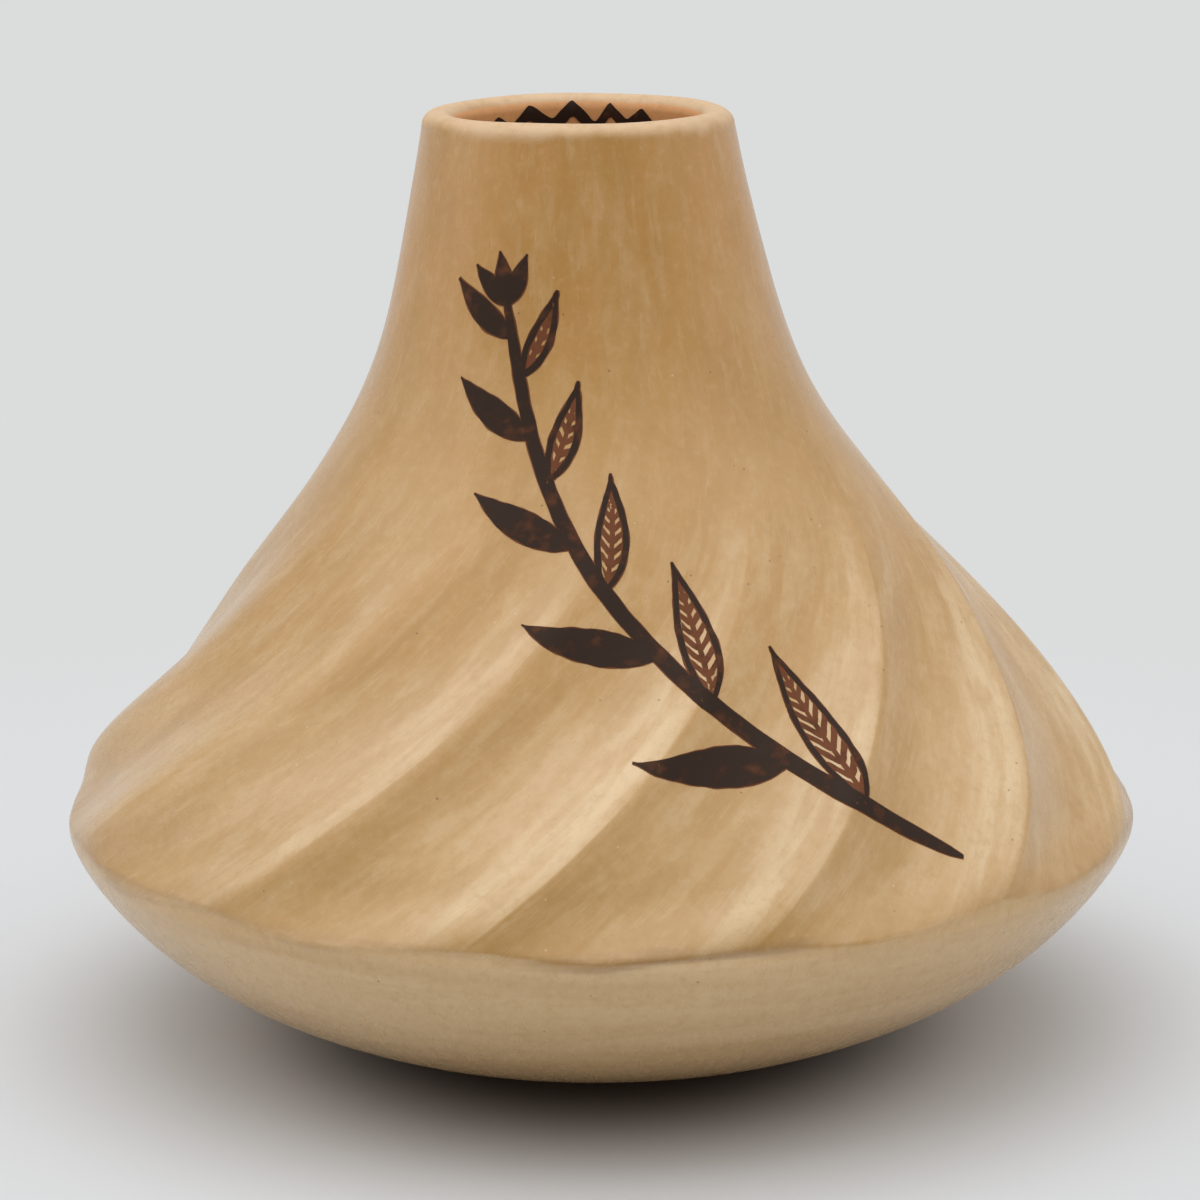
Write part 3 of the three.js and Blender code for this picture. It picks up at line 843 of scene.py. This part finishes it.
class Painting:
    """Draws brush strokes on a flat chart of azimuth and height, and lays them on the jar."""

    def __init__(self, surface, sizes, extra_width=0.0):
        self.surface = surface
        self.sizes = sizes
        self.extra_width = extra_width
        self.strokes = []

    def stem_place(self, share):
        """Azimuth and height along the stem."""
        sizes = self.sizes
        azimuth = sizes.low_azimuth + (sizes.top_azimuth - sizes.low_azimuth) * share
        azimuth = azimuth - sizes.bow * np.sin(np.pi * share)
        rise = sizes.low_rise + (sizes.top_rise - sizes.low_rise) * share
        return azimuth, self.surface.sizes.edge_height + rise

    def stem_heading(self, share):
        """Direction of the stem in degrees, anticlockwise from level to the right."""
        step = 0.005
        azimuth, height = self.stem_place(share - step)
        next_azimuth, next_height = self.stem_place(share + step)
        middle = (height + next_height) / 2
        across = np.radians(next_azimuth - azimuth) * self.surface.crest_radius(middle)
        up = (next_height - height) * np.sqrt(1 + self.surface.slope(middle) ** 2)
        return np.degrees(np.arctan2(up, across))

    def on_chart(self, share, offset):
        """Chart points at offsets across and up from a place on the stem."""
        azimuth, height = self.stem_place(share)
        upright = 1 / np.sqrt(1 + self.surface.slope(height) ** 2)
        azimuth = azimuth + np.degrees(offset[:, 0] / self.surface.crest_radius(height))
        return np.stack([azimuth * CHART_DEGREE, height + offset[:, 1] * upright], axis=-1)

    def stroke(self, share, path, heading, widths):
        """A brush stroke along a path of offsets, with unsteady edges. Headings are in degrees."""
        side = sideways(np.radians(heading) + np.zeros(len(path)))
        ends = np.linspace(-1.0, 1.0, len(path))
        half = (widths * np.clip(np.sqrt(1 - ends**8), 0.15, 1.0) + self.extra_width) / 2
        seed = 3.7 * len(self.strokes) + 900 * self.extra_width
        edges = []
        for sign in (1, -1):
            waver = [noise.noise(Vector((0.35 * place, 5.0 * sign, seed))) for place in range(len(path))]
            reach = np.maximum(half + STROKE_WAVER * np.array(waver), STROKE_LEAST)
            edges.append(self.on_chart(share, path + sign * side * reach[:, None]))
        outline = np.concatenate([edges[0], edges[1][::-1]])
        deselect()
        bpy.ops.mesh.primitive_circle_add(vertices=len(outline), fill_type="NGON")
        drawn = bpy.context.object
        points = np.stack([outline[:, 0], np.zeros(len(outline)), outline[:, 1]], axis=-1)
        write_points(drawn.data, points)
        in_edit_mode(drawn)
        bpy.ops.mesh.extrude_region_move(TRANSFORM_OT_translate={"value": (0, -MM, 0)})
        bpy.ops.mesh.select_all(action="SELECT")
        bpy.ops.mesh.normals_make_consistent(inside=False)
        leave_edit_mode()
        self.strokes.append(drawn)

    def stem(self):
        share = np.linspace(-0.02, 1.0, 90)
        widths = self.sizes.stem_low + (self.sizes.stem_top - self.sizes.stem_low) * share
        self.stroke(share, np.zeros((len(share), 2)), self.stem_heading(share), widths)

    def blade(self, length, width, heading, curl):
        """Middle line, headings and half widths of a leaf from its foot."""
        count = round(length / STROKE_STEP)
        share = np.linspace(0.0, 1.0, count)
        heading = heading + curl * share
        angle = np.radians(heading)
        steps = np.stack([np.cos(angle), np.sin(angle)], axis=-1) * length / (count - 1)
        path = np.cumsum(steps, axis=0) - steps[0]
        return path, heading, width / 2 * np.sin(np.pi * share**0.8)

    def solid_leaf(self, share, *shape):
        path, heading, half = self.blade(*shape)
        self.stroke(share, path, heading, np.maximum(2 * half, 0.5 * MM))

    def leaf_outline(self, share, *shape):
        """Both edges of a leaf, each as a stroke."""
        path, heading, half = self.blade(*shape)
        side = sideways(np.radians(heading))
        inset = np.maximum(half - self.sizes.outline_width / 2, 0.0)[:, None]
        for sign in (1, -1):
            edge = path + sign * side * inset
            run = np.gradient(edge, axis=0)
            edge_heading = np.degrees(np.arctan2(run[:, 1], run[:, 0]))
            self.stroke(share, edge, edge_heading, np.full(len(edge), self.sizes.outline_width))

    def leaf_veins(self, share, length, *shape):
        """A midrib and slanting veins inside a leaf."""
        sizes = self.sizes
        path, heading, half = self.blade(length, *shape)
        self.stroke(share, path[2:-2], heading[2:-2], np.full(len(path) - 4, sizes.vein_width))
        stride = round(sizes.vein_step / (length / len(path)))
        slant = math.sin(math.radians(sizes.vein_slant))
        for place in range(1, len(path) - 4, stride):
            for side in (1, -1):
                angle = np.radians(heading[place] + side * sizes.vein_slant)
                reach = (half[min(place + 2, len(half) - 1)] - sizes.outline_width / 2) / slant
                if reach < MM:
                    continue
                along = np.linspace(0.0, reach, 10)[:, None]
                vein = path[place] + along * np.array([math.cos(angle), math.sin(angle)])
                self.stroke(share, vein, math.degrees(angle), np.full(10, sizes.vein_width))

    def branch(self, *outlined):
        """The stem, a bud or three at its top, solid leaves left and outlined leaves right."""
        sizes = self.sizes
        self.stem()
        for pair in range(sizes.leaf_pairs):
            for side in (1, -1):
                share = (pair + 0.75 + side * 0.2) / (sizes.leaf_pairs + 0.5)
                length = sizes.leaf_low + (sizes.leaf_top - sizes.leaf_low) * share
                heading = self.stem_heading(share) + side * sizes.leaf_spread
                leaf = (share, length, length * sizes.leaf_slimness, heading, -LEAF_CURL * side)
                for draw in outlined if side < 0 else (self.solid_leaf,):
                    draw(*leaf)
        for side in (-1, 0, 1):
            share = 0.96
            heading = self.stem_heading(share) + side * sizes.bud_spread
            self.solid_leaf(share, sizes.bud_length, sizes.bud_width * 0.75, heading, 0.0)

    def lay(self, lift):
        """Joins the strokes to one film, cuts it into small cells and lays it on the jar."""
        first, *others = self.strokes
        rest = bpy.data.collections.new("strokes")
        bpy.context.scene.collection.children.link(rest)
        for drawn in others:
            rest.objects.link(drawn)
        choose(first)
        union = first.modifiers.new("union", "BOOLEAN")
        union.operation = "UNION"
        union.operand_type = "COLLECTION"
        union.solver = "EXACT"
        union.collection = rest
        bpy.ops.object.modifier_apply(modifier=union.name)
        for drawn in others:
            bpy.data.objects.remove(drawn)
        bpy.data.collections.remove(rest)

        # Of the joined strokes, only the sides that face the front are kept
        in_edit_mode(first)
        bpy.ops.mesh.select_all(action="DESELECT")
        leave_edit_mode()
        for face in first.data.polygons:
            face.select = face.normal.y > -0.5
        bpy.ops.object.mode_set(mode="EDIT")
        bpy.ops.mesh.select_mode(type="FACE")
        bpy.ops.mesh.delete(type="FACE")
        bpy.ops.mesh.select_all(action="SELECT")
        bpy.ops.mesh.remove_doubles(threshold=CHART_MERGE)
        bpy.ops.mesh.delete_loose()
        leave_edit_mode()
        points = read_points(first.data)
        low, high = points.min(axis=0), points.max(axis=0)
        in_edit_mode(first)
        for axis in (0, 2):
            normal = [0.0, 0.0, 0.0]
            normal[axis] = 1.0
            for cut in np.arange(low[axis], high[axis], CHART_CELL):
                bpy.ops.mesh.select_all(action="SELECT")
                bpy.ops.mesh.bisect(plane_co=[level * cut for level in normal], plane_no=normal)
        leave_edit_mode()
        points = read_points(first.data)
        write_points(first.data, self.surface.points(points[:, 0] / CHART_DEGREE, points[:, 2], lift))
        thicken(first, 2 * lift)
        return first


class POTTERY_OT_paint_branch(bpy.types.Operator):
    """Paints a leafy branch across the shoulder and the neck: a thin wash with a dark coat on it"""

    bl_idname = "pottery.paint_branch"
    bl_label = "Paint branch"

    def execute(self, context):
        surface = jar_surface()
        sizes, colours = context.scene.painting_sizes, context.scene.jar_colours
        wash = Painting(surface, sizes, extra_width=WASH_MARGIN)
        wash.branch(wash.leaf_outline, wash.leaf_veins)
        thin = brushed_paint("Thin paint", colours.paint_thin, colours.paint)
        finish_piece(wash.lay(sizes.film), "branch_wash", thin, "paint")
        coat = Painting(surface, sizes)
        coat.branch(coat.leaf_outline)
        dark = brushed_paint("Dark paint", colours.paint, colours.paint_thin)
        finish_piece(coat.lay(1.6 * sizes.film), "branch_coat", dark, "paint", "painted_branch")
        return {"FINISHED"}


class POTTERY_OT_paint_zigzag(bpy.types.Operator):
    """Paints an uneven zigzag round the inside of the neck"""

    bl_idname = "pottery.paint_zigzag"
    bl_label = "Paint zigzag"

    def execute(self, context):
        surface = jar_surface()
        sizes, colours = context.scene.painting_sizes, context.scene.jar_colours
        middle = RIM_TOP - sizes.zigzag_drop
        columns = 14 * sizes.zigzag_count
        deselect()
        bpy.ops.mesh.primitive_grid_add(x_subdivisions=columns, y_subdivisions=4, size=1.0)
        band = context.object
        points = read_points(band.data)
        angle = 2 * np.pi * points[:, 0]
        across = points[:, 1]
        waver, uneven = (
            np.array([noise.noise(Vector((fine * math.sin(a), fine * math.cos(a), seed))) for a in angle])
            for fine, seed in ((3, 1.5), (6, 7.5))
        )
        sharpness = 0.96
        swing = sharpness * np.sin(sizes.zigzag_count * angle + 1.6 * waver)
        wave = np.arcsin(swing) / math.asin(sharpness)
        slant = 2 * sizes.zigzag_height * sizes.zigzag_count / (2 * np.pi * surface.inner_radius(middle))
        stroke = sizes.zigzag_stroke * math.hypot(1.0, slant) * (1 + 0.3 * uneven)
        from_back = np.degrees(np.pi - np.abs(angle))
        sag = sizes.zigzag_sag * ease(from_back, 26.0, 50.0)
        height = middle - sag + sizes.zigzag_height / 2 * wave * (1 + 0.5 * waver)
        height += 0.6 * MM * uneven + across * stroke
        radius = surface.inner_radius(height) - sizes.film
        write_points(band.data, around(radius, angle, height, surface.centre(height)))
        in_edit_mode(band)
        bpy.ops.mesh.remove_doubles(threshold=SAME_PLACE)
        bpy.ops.mesh.normals_make_consistent(inside=True)
        leave_edit_mode()
        thicken(band, 2 * sizes.film)
        dark = brushed_paint("Neck paint", colours.paint, colours.paint_thin)
        finish_piece(band, "neck_band", dark, "paint", "neck_zigzag")
        return {"FINISHED"}


# The stage

FLOOR_SIZE = 12.0
FLOOR_BEHIND = 2.4  # how far behind the jar the floor turns up
SWEEP_RISE = 3.0
SWEEP_ROUND = 1.2
TENT_LEVEL = 0.93  # strength of the white world
LAMP_TARGET = Vector((0, 0, 0.08))
CAMERA_PITCH = 13.04  # degrees down
CAMERA_ROLL = -0.465
CAMERA_LENS = 124.5
CAMERA_ASIDE = 0.1 * MM
CAMERA_AWAY = 680.8 * MM
CAMERA_RISE = 193.3 * MM  # above the widest edge


def choose_edges(piece, wanted):
    """Opens a piece in edit mode with the edges selected of which both ends are wanted."""
    in_edit_mode(piece)
    bpy.ops.mesh.select_mode(type="EDGE")
    bpy.ops.mesh.select_all(action="DESELECT")
    leave_edit_mode()
    for edge in piece.data.edges:
        edge.select = all(wanted(piece.data.vertices[end].co) for end in edge.vertices)
    bpy.ops.object.mode_set(mode="EDIT")


def pale_paper():
    """Paper with a painted shadow close under the bowl, and evenly bright where it is far from the jar.
    """
    colours = bpy.context.scene.jar_colours
    material, tree, shader, place = new_material("Pale paper")
    away, under = (
        add_node(tree, "ShaderNodeVectorMath", {0: vector}, operation="LENGTH").outputs["Value"]
        for vector in (place, mapped(place, (1.15, 1.0, 1.0), (0.0, 12 * MM, 0.0)))
    )
    # The painted shadow is a little narrower than the bowl and lies a little towards the camera
    near, clear = 0.3 * EDGE_RADIUS, 0.85 * EDGE_RADIUS
    paper = tinted(colours.floor, colours.shadow, under, clear, near, 0.95)
    feed_all(shader, {"Base Color": paper, "Roughness": 0.9, "Specular IOR Level": 0.1})
    rays = add_node(tree, "ShaderNodeLightPath").outputs
    seen = calculate("MAXIMUM", rays["Is Camera Ray"], rays["Is Glossy Ray"])
    seen = calculate("MAXIMUM", seen, rays["Is Transmission Ray"])
    far = times(spread(away, 0.07, 0.35), seen)
    glow = add_node(tree, "ShaderNodeEmission", {"Color": colours.backdrop}).outputs["Emission"]
    mix = add_node(tree, "ShaderNodeMixShader", {0: far, 1: shader.outputs["BSDF"], 2: glow})
    feed(tree.nodes["Material Output"].inputs["Surface"], mix.outputs["Shader"])
    return material


class POTTERY_OT_lay_stage(bpy.types.Operator):
    """Lays a pale floor that sweeps up behind the jar, and sets the lamps and the camera"""

    bl_idname = "pottery.lay_stage"
    bl_label = "Lay stage"

    def execute(self, context):
        self.floor(context)
        self.lamps(context)
        self.camera(context)
        return {"FINISHED"}

    def floor(self, context):
        deselect()
        middle = (0, FLOOR_BEHIND - FLOOR_SIZE / 2, 0)
        bpy.ops.mesh.primitive_plane_add(size=FLOOR_SIZE, location=middle)
        floor = context.object
        choose_edges(floor, lambda end: end.y > 0)
        bpy.ops.mesh.extrude_region_move(TRANSFORM_OT_translate={"value": (0, 0, SWEEP_RISE)})
        choose_edges(floor, lambda end: end.y > 0 and end.z < SWEEP_RISE / 2)
        bpy.ops.mesh.bevel(offset=SWEEP_ROUND, segments=24, affect="EDGES")
        leave_edit_mode()
        bpy.ops.object.transform_apply(location=True, rotation=True, scale=True)
        bpy.ops.object.shade_smooth()
        floor.name = "sweep"
        floor.data.materials.append(pale_paper())

    def lamps(self, context):
        """An even white tent, whose sides and top are brighter where the jar mirrors them."""
        world = bpy.data.worlds.new("Light tent")
        context.scene.world = world
        world.use_nodes = True
        tree = world.node_tree
        view = parts(add_node(tree, "ShaderNodeTexCoord").outputs["Generated"])
        aside = times(calculate("ABSOLUTE", view["X"]), 0.8)
        aside = spread(calculate("ADD", aside, times(view["Y"], 0.6)), -0.3, 0.9)
        aside = times(aside, spread(view["X"], -0.5, 0.5, 1.0, 0.75))
        overhead = spread(view["Z"], 0.2, 1.0, 0.0, 1.2)
        mirrored = calculate("ADD", aside, overhead)
        glossy = add_node(tree, "ShaderNodeLightPath").outputs["Is Glossy Ray"]
        level = merge(glossy, TENT_LEVEL, mirrored)
        feed_all(tree.nodes["Background"], {"Color": (0.97, 0.98, 1.0, 1.0), "Strength": level})
        for name, place, size, power in (
            ("top softbox", (-0.05, 0.1, 1.2), 1.4, 5.0),
            ("left softbox", (-0.7, 0.1, 1.0), 0.9, 0.6),
        ):
            deselect()
            bpy.ops.object.light_add(type="AREA", location=place)
            lamp = context.object
            lamp.name = name
            lamp.data.shape = "SQUARE"
            lamp.data.size = size
            lamp.data.energy = power
            lamp.rotation_euler = (LAMP_TARGET - Vector(place)).to_track_quat("-Z", "Y").to_euler()

    def camera(self, context):
        deselect()
        bpy.ops.object.camera_add()
        camera = context.object
        pitch, roll = math.radians(CAMERA_PITCH), math.radians(CAMERA_ROLL)
        turn = Matrix.Rotation(math.pi / 2 - pitch, 4, "X") @ Matrix.Rotation(roll, 4, "Z")
        height = context.scene.jar_sizes.edge_height + CAMERA_RISE
        camera.matrix_world = Matrix.Translation((CAMERA_ASIDE, -CAMERA_AWAY, height)) @ turn
        camera.data.lens = CAMERA_LENS
        camera.data.sensor_width = 36.0
        camera.data.clip_start = 0.05
        context.scene.camera = camera


class POTTERY_PT_panel(bpy.types.Panel):
    """Sidebar panel of the jar."""

    bl_label = "Pottery jar"
    bl_idname = "POTTERY_PT_panel"
    bl_space_type = "VIEW_3D"
    bl_region_type = "UI"
    bl_category = "Jar"

    def draw(self, context):
        for operator in OPERATORS:
            self.layout.operator(operator.bl_idname)
        for place, group in GROUPS.items():
            for name in group.__annotations__:
                self.layout.prop(getattr(context.scene, place), name)


GROUPS = {"jar_sizes": JarSizes, "painting_sizes": PaintingSizes, "jar_colours": JarColours}
OPERATORS = (
    POTTERY_OT_lay_stage, POTTERY_OT_make_wall, POTTERY_OT_paint_branch, POTTERY_OT_paint_zigzag,
)
CLASSES = (*GROUPS.values(), *OPERATORS, POTTERY_PT_panel)


def register():
    for entry in CLASSES:
        bpy.utils.register_class(entry)
    for place, group in GROUPS.items():
        setattr(bpy.types.Scene, place, bpy.props.PointerProperty(type=group))


def unregister():
    for place in GROUPS:
        delattr(bpy.types.Scene, place)
    for entry in reversed(CLASSES):
        bpy.utils.unregister_class(entry)


def main():
    register()
    bpy.context.scene.view_settings.view_transform = "Standard"
    bpy.ops.pottery.lay_stage()
    bpy.ops.pottery.make_wall()
    bpy.ops.pottery.paint_branch()
    bpy.ops.pottery.paint_zigzag()


if __name__ == "__main__":
    main()
